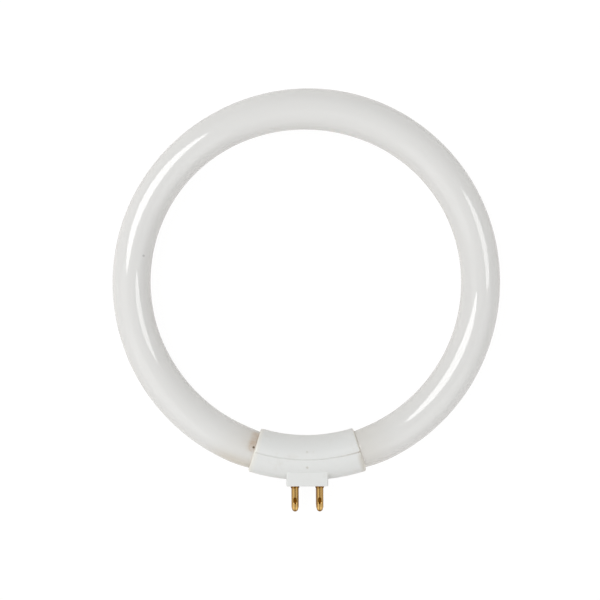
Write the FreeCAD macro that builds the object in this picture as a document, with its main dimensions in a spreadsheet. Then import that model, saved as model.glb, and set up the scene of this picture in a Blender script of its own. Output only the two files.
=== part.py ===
import FreeCAD, Part
import math
import os
import Sketcher

# Circular fluorescent tube, in millimetres. The ring lies flat: its axis is Z, its centre is the origin,
# and the four contact pins point to -Y. The base clamps the two sealed ends of the bent glass tube.

doc = FreeCAD.newDocument("circular_fluorescent_tube")
sheet = doc.addObject("Spreadsheet::Sheet", "sizes")
bodies = []


class Size:
    """A number together with the spreadsheet formula that gives it."""

    def __init__(self, number, formula):
        self.number = number
        self.formula = formula

    def __add__(self, other):
        return Size(self.number + number_of(other), f"({self.formula} + {formula_of(other)})")

    def __sub__(self, other):
        return Size(self.number - number_of(other), f"({self.formula} - {formula_of(other)})")

    def __mul__(self, other):
        return Size(self.number * number_of(other), f"({self.formula} * {formula_of(other)})")

    def __truediv__(self, other):
        return Size(self.number / number_of(other), f"({self.formula} / {formula_of(other)})")

    def __neg__(self):
        return Size(-self.number, f"(-1 * {self.formula})")


def number_of(value):
    return value.number if isinstance(value, Size) else value


def formula_of(value):
    return value.formula if isinstance(value, Size) else str(value)


def root(value):
    return Size(math.sqrt(value.number), f"sqrt({value.formula})")


def sine(angle):
    return Size(math.sin(math.radians(angle.number)), f"sin({angle.formula} * 1 deg)")


def cosine(angle):
    return Size(math.cos(math.radians(angle.number)), f"cos({angle.formula} * 1 deg)")


def angle_with_sine(ratio):
    return Size(math.degrees(math.asin(ratio.number)), f"(asin({ratio.formula}) / 1 deg)")


def angle_of_arc(length, radius):
    return length / radius * 180 / Size(math.pi, "pi")


def size(name, number, note):
    """Writes one driving size to the sheet and gives it back as a Size."""
    row = size.row
    size.row = row + 1
    sheet.set(f"A{row}", note)
    sheet.set(f"B{row}", str(number))
    sheet.setAlias(f"B{row}", name)
    return Size(number, f"sizes.{name}")


size.row = 1

# Glass ring
ring_radius = size("ring_radius", 56.4, "ring centre to the middle of the tube")
tube_diameter = size("tube_diameter", 12.7, "outside diameter of the glass")
glass_wall = size("glass_wall", 0.9, "thickness of the glass wall")
seal_length = size("seal_length", 2.5, "solid glass at each closed end")
seal_round = size("seal_round", 2.0, "rounding of the closed ends")
tip_diameter = size("tip_diameter", 2.4, "diameter of the exhaust tip")
tip_length = size("tip_length", 3.0, "exhaust tip beyond the closed end")

# Two-part base
base_length = size("base_length", 34.5, "length of the base along the ring")
glass_clearance = size("glass_clearance", 0.1, "gap between glass and shells")
shell_wall = size("shell_wall", 0.8, "wall of the shells")
end_round = size("end_round", 0.7, "rounding of the shells' end rims")
seam_groove = size("seam_groove", 0.2, "bevel of each shell along the seam")
lip_length = size("lip_length", 0.7, "reach of the inner shell's lip across the seam")
lip_wall = size("lip_wall", 0.4, "thickness of the lip")
lip_inset = size("lip_inset", 3.0, "end rim to the start of the lip")
lip_clearance = size("lip_clearance", 0.05, "gap around the lip in its rebate")
dimple_diameter = size("dimple_diameter", 0.7, "diameter of the moulding dimples")
dimple_depth = size("dimple_depth", 0.2, "depth of the moulding dimples")
dimple_offset = size("dimple_offset", 2.5, "seam to the middle of each dimple")

# Pin block
block_rise = size("block_rise", 1.4, "block face beyond the round of the shell")
block_side = size("block_side", 2.74, "pin axis to the side of the block")
block_front = size("block_front", 2.65, "pin axis to the front and rear of the block")
block_corner = size("block_corner", 0.6, "rounding of the block's upright corners")
block_round = size("block_round", 0.35, "rounding around the block's face")
seat_margin = size("seat_margin", 0.3, "flat seat beyond the pin heads")

# Contact pins
pin_spacing_x = size("pin_spacing_x", 7.92, "pin spacing along the ring")
pin_spacing_z = size("pin_spacing_z", 6.35, "pin spacing along the ring axis")
pin_diameter = size("pin_diameter", 2.36, "diameter of the pins")
pin_length = size("pin_length", 8.35, "block face to pin tip")
nose_length = size("nose_length", 1.5, "length of the tapered and rounded nose")
nose_taper = size("nose_taper", 16.0, "lean of the nose, in degrees")
collar_diameter = size("collar_diameter", 2.82, "diameter of the collar")
collar_height = size("collar_height", 0.9, "height of the collar")
collar_bevel = size("collar_bevel", 0.3, "bevelled part of the collar's height")
shank_diameter = size("shank_diameter", 2.0, "diameter of the pin inside the block")
shank_clearance = size("shank_clearance", 0.03, "gap around the shank")
head_diameter = size("head_diameter", 2.8, "diameter of the spread inner end")
head_height = size("head_height", 0.4, "height of the spread inner end")
bore_diameter = size("bore_diameter", 1.4, "diameter of the hollow inner end of a pin")
bore_stop = size("bore_stop", 0.4, "bore floor to the block face")
throat_length = size("throat_length", 1.6, "narrow end of the bore that holds the wire")
crimp_height = size("crimp_height", 4.7, "block face to the middle of the crimp")
crimp_length = size("crimp_length", 2.1, "length of the crimp dent")
crimp_depth = size("crimp_depth", 0.45, "depth of the crimp dent")
crimp_lift = size("crimp_lift", 0.15, "crimp tool axis outside the pin")

# Lead wires
wire_diameter = size("wire_diameter", 0.6, "diameter of the lead wires")
wire_clearance = size("wire_clearance", 0.04, "gap between wire and throat")
wire_bend = size("wire_bend", 2.0, "bend radius of the lead wires")
wire_reach = size("wire_reach", 3.5, "pin axis to the glass end")

# Radii and shared places that follow from the driving sizes
tube_radius = tube_diameter / 2
tip_radius = tip_diameter / 2
dimple_radius = dimple_diameter / 2
pin_radius = pin_diameter / 2
collar_radius = collar_diameter / 2
shank_radius = shank_diameter / 2
head_radius = head_diameter / 2
bore_radius = bore_diameter / 2
wire_radius = wire_diameter / 2
pin_x = pin_spacing_x / 2
pin_z = pin_spacing_z / 2
shell_bore = tube_radius + glass_clearance
shell_radius = shell_bore + shell_wall
base_angle = angle_of_arc(base_length, ring_radius)
lip_angle = angle_of_arc(base_length - lip_inset * 2, ring_radius)
rebate_angle = angle_of_arc(base_length - lip_inset * 2 + lip_clearance * 2, ring_radius)
end_sine = (pin_x + wire_reach) / ring_radius
end_angle = angle_with_sine(end_sine)
end_cosine = cosine(end_angle)
seal_angle = angle_of_arc(seal_length, ring_radius)
block_width = pin_spacing_x + block_side * 2
block_depth = pin_spacing_z + block_front * 2
block_face = ring_radius + shell_radius + block_rise
seat_half_depth = pin_z + head_radius + seat_margin
seat_height = ring_radius + root(shell_bore * shell_bore - seat_half_depth * seat_half_depth)
seat_thickness = block_face - seat_height
bore_floor = -bore_stop


def bind(target, path, value):
    target.setExpression(path, formula_of(value))


def new_body(name):
    body = doc.addObject("PartDesign::Body", name)
    body.Label = name
    bodies.append(body)
    return body


def stand(body, x, y, z, about):
    """Turns a body half round about an axis, so its own +Y becomes -Y, and moves it to its place."""
    body.Placement = FreeCAD.Placement(FreeCAD.Vector(), FreeCAD.Rotation(about, 180))
    for path, value in (("x", x), ("y", y), ("z", z)):
        if isinstance(value, Size):
            bind(body, "Placement.Base." + path, value)


def plane(body, role):
    for feature in body.Origin.OriginFeatures:
        if feature.Role == role:
            return feature
    raise RuntimeError("no plane " + role)


def sketch_on(body, name, role, lift=None, turn=None):
    """Adds a sketch on one of the body's planes, lifted along its normal or turned about it."""
    sketch = body.newObject("Sketcher::SketchObject", name)
    sketch.AttachmentSupport = (plane(body, role), "")
    sketch.MapMode = "FlatFace"
    if lift is not None:
        bind(sketch, "AttachmentOffset.Base.z", lift)
    if turn is not None:
        bind(sketch, "AttachmentOffset.Rotation.Angle", turn)
    return sketch


def hold(sketch, kind, index, end, value):
    """Fixes one coordinate of a point, on the axis where it is 0 and by its formula elsewhere."""
    if isinstance(value, Size):
        number = sketch.addConstraint(Sketcher.Constraint("Distance" + kind, index, end, value.number))
        bind(sketch, f"Constraints[{number}]", value)
    else:
        sketch.addConstraint(Sketcher.Constraint("PointOnObject", index, end, -2 if kind == "X" else -1))


def draw_circle(sketch, x, y, radius):
    middle = FreeCAD.Vector(number_of(x), number_of(y), 0)
    circle = sketch.addGeometry(Part.Circle(middle, FreeCAD.Vector(0, 0, 1), radius.number), False)
    hold(sketch, "X", circle, 3, x)
    hold(sketch, "Y", circle, 3, y)
    number = sketch.addConstraint(Sketcher.Constraint("Radius", circle, radius.number))
    bind(sketch, f"Constraints[{number}]", radius)


def arc_between(first, last, radius, turn):
    """Gives the short arc between two points that turns left (1) or right (-1)."""
    half = (last - first) / 2
    rise = math.sqrt(radius * radius - half.Length * half.Length)
    side = FreeCAD.Vector(-half.y, half.x, 0) * (turn / half.Length)
    centre = first + half + side * rise
    start, end = (first, last) if turn > 0 else (last, first)
    angles = [math.atan2(point.y - centre.y, point.x - centre.x) for point in (start, end)]
    circle = Part.Circle(centre, FreeCAD.Vector(0, 0, 1), radius)
    return Part.ArcOfCircle(circle, angles[0], angles[1])


def draw_path(sketch, corners, arcs=None, closed=True):
    """Draws sides from corner to corner; arcs gives radius and turn for each side that is round."""
    arcs = arcs or {}
    points = [FreeCAD.Vector(number_of(x), number_of(y), 0) for x, y in corners]
    count = len(points) if closed else len(points) - 1
    ends = []
    for side in range(count):
        first = points[side]
        last = points[(side + 1) % len(points)]
        if side in arcs:
            radius, turn = arcs[side]
            index = sketch.addGeometry(arc_between(first, last, radius.number, turn), False)
            ends.append((index, 1, 2) if turn > 0 else (index, 2, 1))
        else:
            index = sketch.addGeometry(Part.LineSegment(first, last), False)
            ends.append((index, 1, 2))
    for side in range(count if closed else count - 1):
        index, start, end = ends[side]
        following = ends[(side + 1) % count]
        sketch.addConstraint(Sketcher.Constraint("Coincident", index, end, following[0], following[1]))
    for side, (x, y) in enumerate(corners):
        index, end = (ends[side][0], ends[side][1]) if side < count else (ends[-1][0], ends[-1][2])
        hold(sketch, "X", index, end, x)
        hold(sketch, "Y", index, end, y)
    for side, (radius, turn) in arcs.items():
        number = sketch.addConstraint(Sketcher.Constraint("Radius", ends[side][0], radius.number))
        bind(sketch, f"Constraints[{number}]", radius)


def draw_axis(sketch, first, last):
    """Draws a construction line to revolve about."""
    points = [FreeCAD.Vector(number_of(x), number_of(y), 0) for x, y in (first, last)]
    index = sketch.addGeometry(Part.LineSegment(points[0], points[1]), True)
    for end, (x, y) in ((1, first), (2, last)):
        hold(sketch, "X", index, end, x)
        hold(sketch, "Y", index, end, y)


def mirrored(corners):
    return [(x, -y if isinstance(y, Size) else y) for x, y in corners]


def revolve(body, kind, name, sketch, angle, axis="V_Axis"):
    """Turns a sketch about an axis, evenly to both sides of its plane."""
    feature = body.newObject("PartDesign::" + kind, name)
    feature.Profile = sketch
    feature.ReferenceAxis = (sketch, [axis])
    feature.Midplane = True
    if isinstance(angle, Size):
        bind(feature, "Angle", angle)
    else:
        feature.Angle = angle
    doc.recompute()
    return feature


def extrude(body, kind, name, sketch, length=None, reverse=False):
    """Pads or pockets a sketch by a length, or through the whole body where no length is given."""
    feature = body.newObject("PartDesign::" + kind, name)
    feature.Profile = sketch
    feature.Reversed = reverse
    if length is None:
        feature.Type = "ThroughAll"
    else:
        bind(feature, "Length", length)
    doc.recompute()
    return feature


def round_edges(body, name, feature, radius, wanted):
    """Rounds the edges of a feature that pass the test."""
    edges = feature.Shape.Edges
    names = [f"Edge{number + 1}" for number in range(len(edges)) if wanted(edges[number])]
    if not names:
        raise RuntimeError("no edges for " + name)
    fillet = body.newObject("PartDesign::Fillet", name)
    fillet.Base = (feature, names)
    bind(fillet, "Radius", radius)
    doc.recompute()
    return fillet


def is_end_rim(edge, radius):
    """True for a round edge of this radius that lies in an end plane of the ring."""
    if not isinstance(edge.Curve, Part.Circle):
        return False
    return abs(edge.Curve.Axis.z) < 0.1 and abs(edge.Curve.Radius - radius) < 0.001


def make_glass_tube():
    """The bent tube, hollow inside, with closed ends and an exhaust tip at its right end."""
    body = new_body("glass_tube")
    full = Size(360, "360")
    section = sketch_on(body, "tube_section", "YZ_Plane")
    draw_circle(section, ring_radius, 0, tube_radius)
    envelope = revolve(body, "Revolution", "envelope", section, full - end_angle * 2)
    round_edges(body, "closed_ends", envelope, seal_round, lambda edge: is_end_rim(edge, tube_radius.number))
    inside = sketch_on(body, "inside_section", "YZ_Plane")
    draw_circle(inside, ring_radius, 0, tube_radius - glass_wall)
    revolve(body, "Groove", "inside", inside, full - end_angle * 2 - seal_angle * 2)
    profile = sketch_on(body, "tip_profile", "XY_Plane", turn=end_angle)
    corners = [(seal_length / 2, -ring_radius), (seal_length / 2, tip_radius - ring_radius),
               (tip_radius - tip_length, tip_radius - ring_radius), (-tip_length, -ring_radius)]
    draw_path(profile, corners, {2: (tip_radius, 1)})
    draw_axis(profile, corners[0], corners[3])
    revolve(body, "Revolution", "exhaust_tip", profile, 360, "Axis0")


def shell_half(body, side):
    """Half of the round shell, to the inside (-1) or the outside (1) of the seam."""
    section = sketch_on(body, "shell_section", "YZ_Plane")
    outer = ring_radius + shell_radius * side
    inner = ring_radius + shell_bore * side
    corners = [(ring_radius, shell_radius), (outer, 0), (ring_radius, -shell_radius),
               (ring_radius, -shell_bore), (inner, 0), (ring_radius, shell_bore)]
    arcs = {0: (shell_radius, -side), 1: (shell_radius, -side), 3: (shell_bore, side), 4: (shell_bore, side)}
    draw_path(section, corners, arcs)
    shell = revolve(body, "Revolution", "shell", section, base_angle)
    return round_edges(body, "end_rims", shell, end_round, lambda edge: is_end_rim(edge, shell_radius.number))


def cut_seam_bevel(body, side):
    """Bevels the outer edges of the seam, so that the two shells leave a fine groove."""
    sketch = sketch_on(body, "bevel_section", "YZ_Plane")
    corners = [(ring_radius, shell_radius - seam_groove), (ring_radius, shell_radius + seam_groove),
               (ring_radius + seam_groove * 2 * side, shell_radius + seam_groove)]
    draw_path(sketch, corners)
    draw_path(sketch, mirrored(corners))
    revolve(body, "Groove", "seam_bevel", sketch, 360)


def cut_dimple(body, side):
    """A shallow round dimple on the front, beside the seam."""
    surface = root(shell_radius * shell_radius - dimple_offset * dimple_offset)
    sketch = sketch_on(body, "dimple_outline", "XY_Plane", lift=shell_radius)
    draw_circle(sketch, 0, ring_radius + dimple_offset * side, dimple_radius)
    extrude(body, "Pocket", "dimple", sketch, shell_radius - surface + dimple_depth)


def lip_outline(gap):
    """The lip's section across the seam, or with a gap around it the rebate that takes it."""
    inner = shell_bore - gap * 4
    outer = shell_bore + lip_wall + gap
    root_side = ring_radius - lip_wall / 2
    tip_side = ring_radius + lip_length + gap
    return [(root_side, inner), (tip_side, inner), (tip_side, outer), (root_side, outer)]


def make_inner_shell():
    body = new_body("base_inner_shell")
    stand(body, 0, 0, 0, FreeCAD.Vector(0, 0, 1))
    shell_half(body, -1)
    section = sketch_on(body, "lip_section", "YZ_Plane")
    corners = lip_outline(Size(0, "0"))
    draw_path(section, corners)
    draw_path(section, mirrored(corners))
    revolve(body, "Revolution", "lip", section, lip_angle)
    cut_dimple(body, -1)
    cut_seam_bevel(body, -1)


def rounded_rectangle(sketch, half_width, half_height, corner):
    """Draws a rectangle about the origin with rounded corners, starting at its upper right."""
    flat_x = half_width - corner
    flat_y = half_height - corner
    corners = [(flat_x, half_height), (-flat_x, half_height), (-half_width, flat_y), (-half_width, -flat_y),
               (-flat_x, -half_height), (flat_x, -half_height), (half_width, -flat_y), (half_width, flat_y)]
    draw_path(sketch, corners, {side: (corner, 1) for side in (1, 3, 5, 7)})


def pin_places():
    """Gives side, face and the signs of X and Z for each of the four pins."""
    for side, sign_x in (("left", -1), ("right", 1)):
        for face, sign_z in (("front", 1), ("rear", -1)):
            yield side, face, sign_x, sign_z


def make_outer_shell():
    """The shell with the moulded pin block, the flat seat for the pin heads and the four pin holes."""
    body = new_body("base_outer_shell")
    stand(body, 0, 0, 0, FreeCAD.Vector(0, 0, 1))
    shell_half(body, 1)
    outline = sketch_on(body, "block_outline", "XZ_Plane", lift=-block_face)
    rounded_rectangle(outline, block_width / 2, block_depth / 2, block_corner)
    block = extrude(body, "Pad", "pin_block", outline, block_face - ring_radius - shell_wall)
    face = block_face.number
    round_edges(body, "block_edges", block, block_round,
                lambda edge: edge.BoundBox.YMin > face - 0.001)
    hollow = sketch_on(body, "hollow_section", "YZ_Plane")
    draw_circle(hollow, ring_radius, 0, shell_bore)
    revolve(body, "Groove", "hollow", hollow, base_angle)
    seat = sketch_on(body, "seat_outline", "XZ_Plane", lift=-seat_height)
    rounded_rectangle(seat, block_width / 2, seat_half_depth + shell_wall / 2, block_corner)
    extrude(body, "Pad", "pin_seat", seat, seat_thickness - block_rise, reverse=True)
    holes = sketch_on(body, "hole_outlines", "XZ_Plane", lift=-block_face)
    for side, face, sign_x, sign_z in pin_places():
        draw_circle(holes, pin_x * sign_x, pin_z * sign_z, shank_radius + shank_clearance)
    extrude(body, "Pocket", "pin_holes", holes, reverse=True)
    rebate = sketch_on(body, "rebate_section", "YZ_Plane")
    corners = lip_outline(lip_clearance)
    draw_path(rebate, corners)
    draw_path(rebate, mirrored(corners))
    revolve(body, "Groove", "lip_rebate", rebate, rebate_angle)
    cut_dimple(body, 1)
    cut_seam_bevel(body, 1)


def make_contact_pin(side, face, sign_x, sign_z):
    """A pin with a hollow, spread inner end, a solid outer end and a crimp dent on its outer face."""
    body = new_body(f"contact_pin_{face}_{side}")
    about = FreeCAD.Vector(0, 0, 1) if sign_z > 0 else FreeCAD.Vector(1, 0, 0)
    stand(body, pin_x * sign_x, -block_face, pin_z * sign_z, about)
    inner_end = -(seat_thickness + head_height)
    throat = wire_radius + wire_clearance
    throat_start = bore_floor - throat_length
    lean_sine = sine(nose_taper)
    lean_cosine = cosine(nose_taper)
    nose_round = (pin_radius * lean_cosine - nose_length * lean_sine) / (Size(1, "1") - lean_sine)
    profile = sketch_on(body, "pin_profile", "XY_Plane")
    corners = [(bore_radius, inner_end), (head_radius, inner_end), (head_radius, -seat_thickness),
               (shank_radius, -seat_thickness), (shank_radius, 0), (collar_radius, 0),
               (collar_radius, collar_height - collar_bevel), (pin_radius, collar_height),
               (pin_radius, pin_length - nose_length),
               (nose_round * lean_cosine, pin_length - nose_round + nose_round * lean_sine),
               (0, pin_length), (0, bore_floor), (throat, bore_floor), (throat, throat_start),
               (bore_radius, throat_start - bore_radius)]
    draw_path(profile, corners, {9: (nose_round, 1)})
    revolve(body, "Revolution", "pin", profile, 360)
    punch = crimp_lift + crimp_depth
    punch_axis = pin_radius + crimp_lift
    start = crimp_height - crimp_length / 2
    end = crimp_height + crimp_length / 2
    crimp = sketch_on(body, "crimp_profile", "YZ_Plane")
    corners = [(start, punch_axis), (start + punch, pin_radius - crimp_depth),
               (end - punch, pin_radius - crimp_depth), (end, punch_axis)]
    draw_path(crimp, corners, {0: (punch, 1), 2: (punch, 1)})
    draw_axis(crimp, corners[0], corners[3])
    revolve(body, "Groove", "crimp", crimp, 360, "Axis0")


def make_lead_wire(side, face, sign_x, sign_z):
    """A wire from the closed glass end, round one bend, to the floor of the bore in its pin."""
    body = new_body(f"lead_wire_{face}_{side}")
    about = FreeCAD.Vector(0, 0, 1) if sign_x < 0 else FreeCAD.Vector(1, 0, 0)
    stand(body, pin_x * sign_x, -block_face, pin_z * sign_z, about)
    bend_x = wire_bend - wire_bend * end_sine
    straight = (wire_reach - bend_x) / end_cosine
    glass_y = ring_radius * end_cosine - block_face
    bend_y = glass_y + straight * end_sine
    route = sketch_on(body, "wire_route", "XY_Plane")
    corners = [(0, bore_floor), (0, bend_y + wire_bend * end_cosine), (bend_x, bend_y), (wire_reach, glass_y)]
    draw_path(route, corners, {1: (wire_bend, 1)}, closed=False)
    section = sketch_on(body, "wire_section", "XZ_Plane", lift=-bore_floor)
    draw_circle(section, 0, 0, wire_radius)
    wire = body.newObject("PartDesign::AdditivePipe", "wire")
    wire.Profile = section
    wire.Spine = (route, ["Edge1", "Edge2", "Edge3"])
    doc.recompute()


def make_all():
    make_glass_tube()
    make_inner_shell()
    make_outer_shell()
    for place in pin_places():
        make_contact_pin(*place)
    for place in pin_places():
        make_lead_wire(*place)


def write_parts():
    """Checks every object and shape, then writes one file for each sub-part."""
    doc.recompute()
    for item in doc.Objects:
        if "Invalid" in item.State or "Error" in item.State:
            raise RuntimeError(f"{item.Name} did not build")
    for body in bodies:
        if body.Shape.isNull() or not body.Shape.isValid():
            raise RuntimeError(f"{body.Label} has no valid shape")
    os.makedirs("parts", exist_ok=True)
    for body in bodies:
        body.Shape.exportStep(f"parts/{body.Label}.step")
        print(body.Label, round(body.Shape.Volume, 2), len(body.Shape.Solids), body.Shape.BoundBox)


make_all()
write_parts()
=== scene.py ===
import math
from collections import namedtuple

import bmesh
import bpy
from bpy.props import FloatProperty, FloatVectorProperty, IntProperty, PointerProperty
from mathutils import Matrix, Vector


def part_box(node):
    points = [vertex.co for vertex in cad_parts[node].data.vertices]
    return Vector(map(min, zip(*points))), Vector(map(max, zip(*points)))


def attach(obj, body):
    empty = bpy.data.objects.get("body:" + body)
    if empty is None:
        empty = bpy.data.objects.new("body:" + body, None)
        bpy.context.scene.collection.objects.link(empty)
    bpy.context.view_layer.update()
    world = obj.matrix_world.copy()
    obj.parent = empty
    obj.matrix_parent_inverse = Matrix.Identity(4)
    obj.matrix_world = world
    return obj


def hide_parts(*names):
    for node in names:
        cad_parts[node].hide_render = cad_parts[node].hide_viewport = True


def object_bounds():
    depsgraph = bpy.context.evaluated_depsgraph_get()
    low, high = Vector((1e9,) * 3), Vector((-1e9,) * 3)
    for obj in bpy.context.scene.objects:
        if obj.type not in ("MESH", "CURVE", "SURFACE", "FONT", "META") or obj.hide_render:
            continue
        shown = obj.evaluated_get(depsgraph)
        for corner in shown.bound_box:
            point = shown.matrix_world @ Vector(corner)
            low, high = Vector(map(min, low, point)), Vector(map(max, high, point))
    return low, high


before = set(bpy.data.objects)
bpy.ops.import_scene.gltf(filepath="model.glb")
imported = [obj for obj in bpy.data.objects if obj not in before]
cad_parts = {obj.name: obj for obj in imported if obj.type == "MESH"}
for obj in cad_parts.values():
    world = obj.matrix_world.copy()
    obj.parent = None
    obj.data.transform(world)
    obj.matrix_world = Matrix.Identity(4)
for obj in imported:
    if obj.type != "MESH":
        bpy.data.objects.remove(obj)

bl_info = {
    "name": "Circular Fluorescent Tube",
    "version": (1, 0, 0),
    "blender": (4, 5, 0),
    "location": "View3D > Sidebar > Ring Lamp",
    "description": "Dresses the packed ring lamp with its glass, base, contact pins, lead wires and studio",
    "category": "Object",
}

MILLIMETRE = 0.001
TAU = 2 * math.pi
PIN_NODES = sorted(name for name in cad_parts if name.startswith("contact_pin"))
WIRE_NODES = sorted(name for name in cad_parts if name.startswith("lead_wire"))
SHELL_NODES = ("base_inner_shell", "base_outer_shell")

cad_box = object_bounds()
glass_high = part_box("glass_tube")[1]
shell_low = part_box("base_outer_shell")[0]
pin_low, pin_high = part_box("contact_pin_front_right")


def length(name, default, description, least=0.0):
    """A size in metres that a user may change."""
    return FloatProperty(name=name, description=description, default=default, min=least, precision=5,
                         subtype="DISTANCE", unit="LENGTH")


def angle(name, degrees, description):
    """An angle that a user may change, given here in degrees."""
    return FloatProperty(name=name, description=description, default=math.radians(degrees), subtype="ANGLE",
                         unit="ROTATION")


def share(name, default, description):
    """A share between 0 and 1."""
    return FloatProperty(name=name, description=description, default=default, min=0.0, max=1.0, precision=3,
                         subtype="FACTOR")


def count(name, default, description):
    """A number of sections or points."""
    return IntProperty(name=name, description=description, default=default, min=12, max=900)


def colour(name, default, description):
    """A linear colour."""
    return FloatVectorProperty(name=name, description=description, default=default, min=0.0, max=1.0, size=3,
                               subtype="COLOR")


class GlassSettings(bpy.types.PropertyGroup):
    """Sizes and colours of the bent glass tube."""

    tube_radius: length("Tube radius", glass_high.z, "Outside radius of the glass")
    ring_radius: length("Ring radius", glass_high.x - glass_high.z, "Ring centre to the middle of the tube")
    end_angle: angle("End angle", 7.60, "Straight down to each closed end, about the ring's centre")
    end_round: length("End rounding", 2.0 * MILLIMETRE, "Rounding of the closed ends")
    tip_radius: length("Tip radius", 1.2 * MILLIMETRE, "Radius of the exhaust tip")
    tip_length: length("Tip length", 3.0 * MILLIMETRE, "Exhaust tip beyond the closed end")
    grip: length("Grip", 9.8 * MILLIMETRE, "Length of each end that the base holds true")
    swell: length("Swell", 0.27 * MILLIMETRE, "Extra radius where the bent tube is widest")
    swell_turn: angle("Swell turn", 45.0, "Place of the widest part round the ring")
    waist: length("Waist", 0.11 * MILLIMETRE, "Rise and fall of the radius, twice round the ring")
    waist_turn: angle("Waist turn", 73.0, "Place of the first rise round the ring")
    wander: length("Wander", 0.13 * MILLIMETRE, "Wander of the tube's middle, three times round the ring")
    wander_turn: angle("Wander turn", 37.0, "Place of the first wander outward")
    steps: count("Steps", 520, "Sections along the tube")
    sides: count("Sides", 72, "Points round each section")
    tip_steps: count("Tip steps", 24, "Sections along the exhaust tip")
    coat: colour("Coat", (0.715, 0.712, 0.697), "White coat seen through the glass")
    end_coat: colour("End coat", (0.65, 0.635, 0.60), "Coat near the ends, greyed by use")
    end_fade: length("End fade", 16.0 * MILLIMETRE, "How far the greyed coat reaches from the base")
    # Painted light: a lighter coat right beside the base's ends, lifting the shade there
    junction_light_coat: colour("Junction light coat", (0.86, 0.83, 0.79), "Coat that the ends of the base have kept clean")
    warm_coat: colour("Warm coat", (0.62, 0.572, 0.49), "Yellowed coat on the outer side of the left end")
    warmth: share("Warmth", 0.75, "How strongly the yellowed coat shows")
    stain: colour("Stain", (0.44, 0.285, 0.155), "Brown stain beside the left end of the base")
    stain_reach: length("Stain reach", 3.4 * MILLIMETRE, "How far the stain runs from the base")
    stain_strength: share("Stain strength", 0.6, "How strongly the stain shows")
    haze_strength: share("Haze strength", 0.2, "How strongly the thin haze beyond the stain shows")
    spot: colour("Spot", (0.15, 0.115, 0.075), "Dark spot in the stain")
    spot_radius: length("Spot radius", 0.40 * MILLIMETRE, "Radius of the dark spot")
    spot_along: length("Spot along", 0.55 * MILLIMETRE, "End of the base to the middle of the spot")
    spot_inset: length("Spot inset", 1.27 * MILLIMETRE, "Middle of the spot to the crest of the tube")
    halo_radius: length("Halo radius", 1.4 * MILLIMETRE, "Radius of the faint brown arc round the spot")
    halo_strength: share("Halo strength", 0.45, "How strongly the brown arc shows")
    speck: colour("Speck", (0.53, 0.525, 0.515), "Small grey speck on the left of the ring")
    speck_turn: angle("Speck turn", 99.8, "Straight down to the speck, about the ring's centre")
    speck_inset: length("Speck inset", 3.62 * MILLIMETRE, "Middle of the speck to the crest of the tube")
    speck_radius: length("Speck radius", 0.40 * MILLIMETRE, "Radius of the speck")
    roughness: share("Roughness", 0.05, "Roughness of the glass")
    refraction: FloatProperty(name="Refraction", description="Refractive index of the glass", default=1.5,
                              min=1.0)
    wave_depth: length("Wave depth", 0.06 * MILLIMETRE, "Depth of the slow waves in the glass")


class BaseSettings(bpy.types.PropertyGroup):
    """Sizes and colours of the two-part base."""

    half_angle: angle("Half angle", 17.52, "Straight down to each end of the base, about the ring's centre")
    plastic: colour("Plastic", (0.725, 0.733, 0.72), "Moulded white plastic")
    # Grime for the handling marks, also used as painted shade beside the right end and in the dimples
    grime_and_shade: colour("Grime and shade", (0.58, 0.55, 0.49), "Handling marks in the plastic")
    mark_strength: share("Mark strength", 0.3, "How strongly the handling marks show")
    # Yellowing of the plastic and a painted highlight: this colour is lighter than the plastic
    yellow_and_highlight: colour("Yellow and highlight", (0.81, 0.785, 0.705), "Plastic bleached and yellowed at the ends")
    yellow_and_highlight_reach: length("Scorch reach", 2.0 * MILLIMETRE, "Left end to where the yellowing is gone")
    # Painted shade: darker plastic on the outer shell beside the right end of the base
    right_end_shade_strength: share("Right end shade strength", 0.75, "How strongly the dirt at the right end shows")
    seam_dirt: colour("Seam dirt", (0.42, 0.37, 0.31), "Brown dust in the seam")
    seam_width: length("Seam width", 0.4 * MILLIMETRE, "Width of the dusty seam")
    seam_dust: share("Seam dust", 0.03, "Dust all along the seam")
    # The seam is darker towards its right end and darkest in its right corner
    seam_right_darkening: share("Seam right darkening", 0.32, "More dust towards the right end of the seam")
    seam_corner_darkening: share("Seam corner darkening", 0.45, "Still more dust in the right corner of the seam")
    dimple_offset: length("Dimple offset", 2.5 * MILLIMETRE, "Seam to the middle of each dimple")
    dimple_radius: length("Dimple radius", 0.35 * MILLIMETRE, "Radius of the moulding dimples")
    # Painted shade in the two dimples, on top of the shade of their hollows
    inner_dimple_shade: share("Inner dimple shade", 0.3, "Dirt in the dimple of the inner shell")
    outer_dimple_shade: share("Outer dimple shade", 0.55, "Dirt in the dimple of the outer shell")
    roughness: share("Roughness", 0.34, "Roughness of the moulded surface")
    grain_depth: length("Grain depth", 0.012 * MILLIMETRE, "Depth of the moulded grain")


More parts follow.
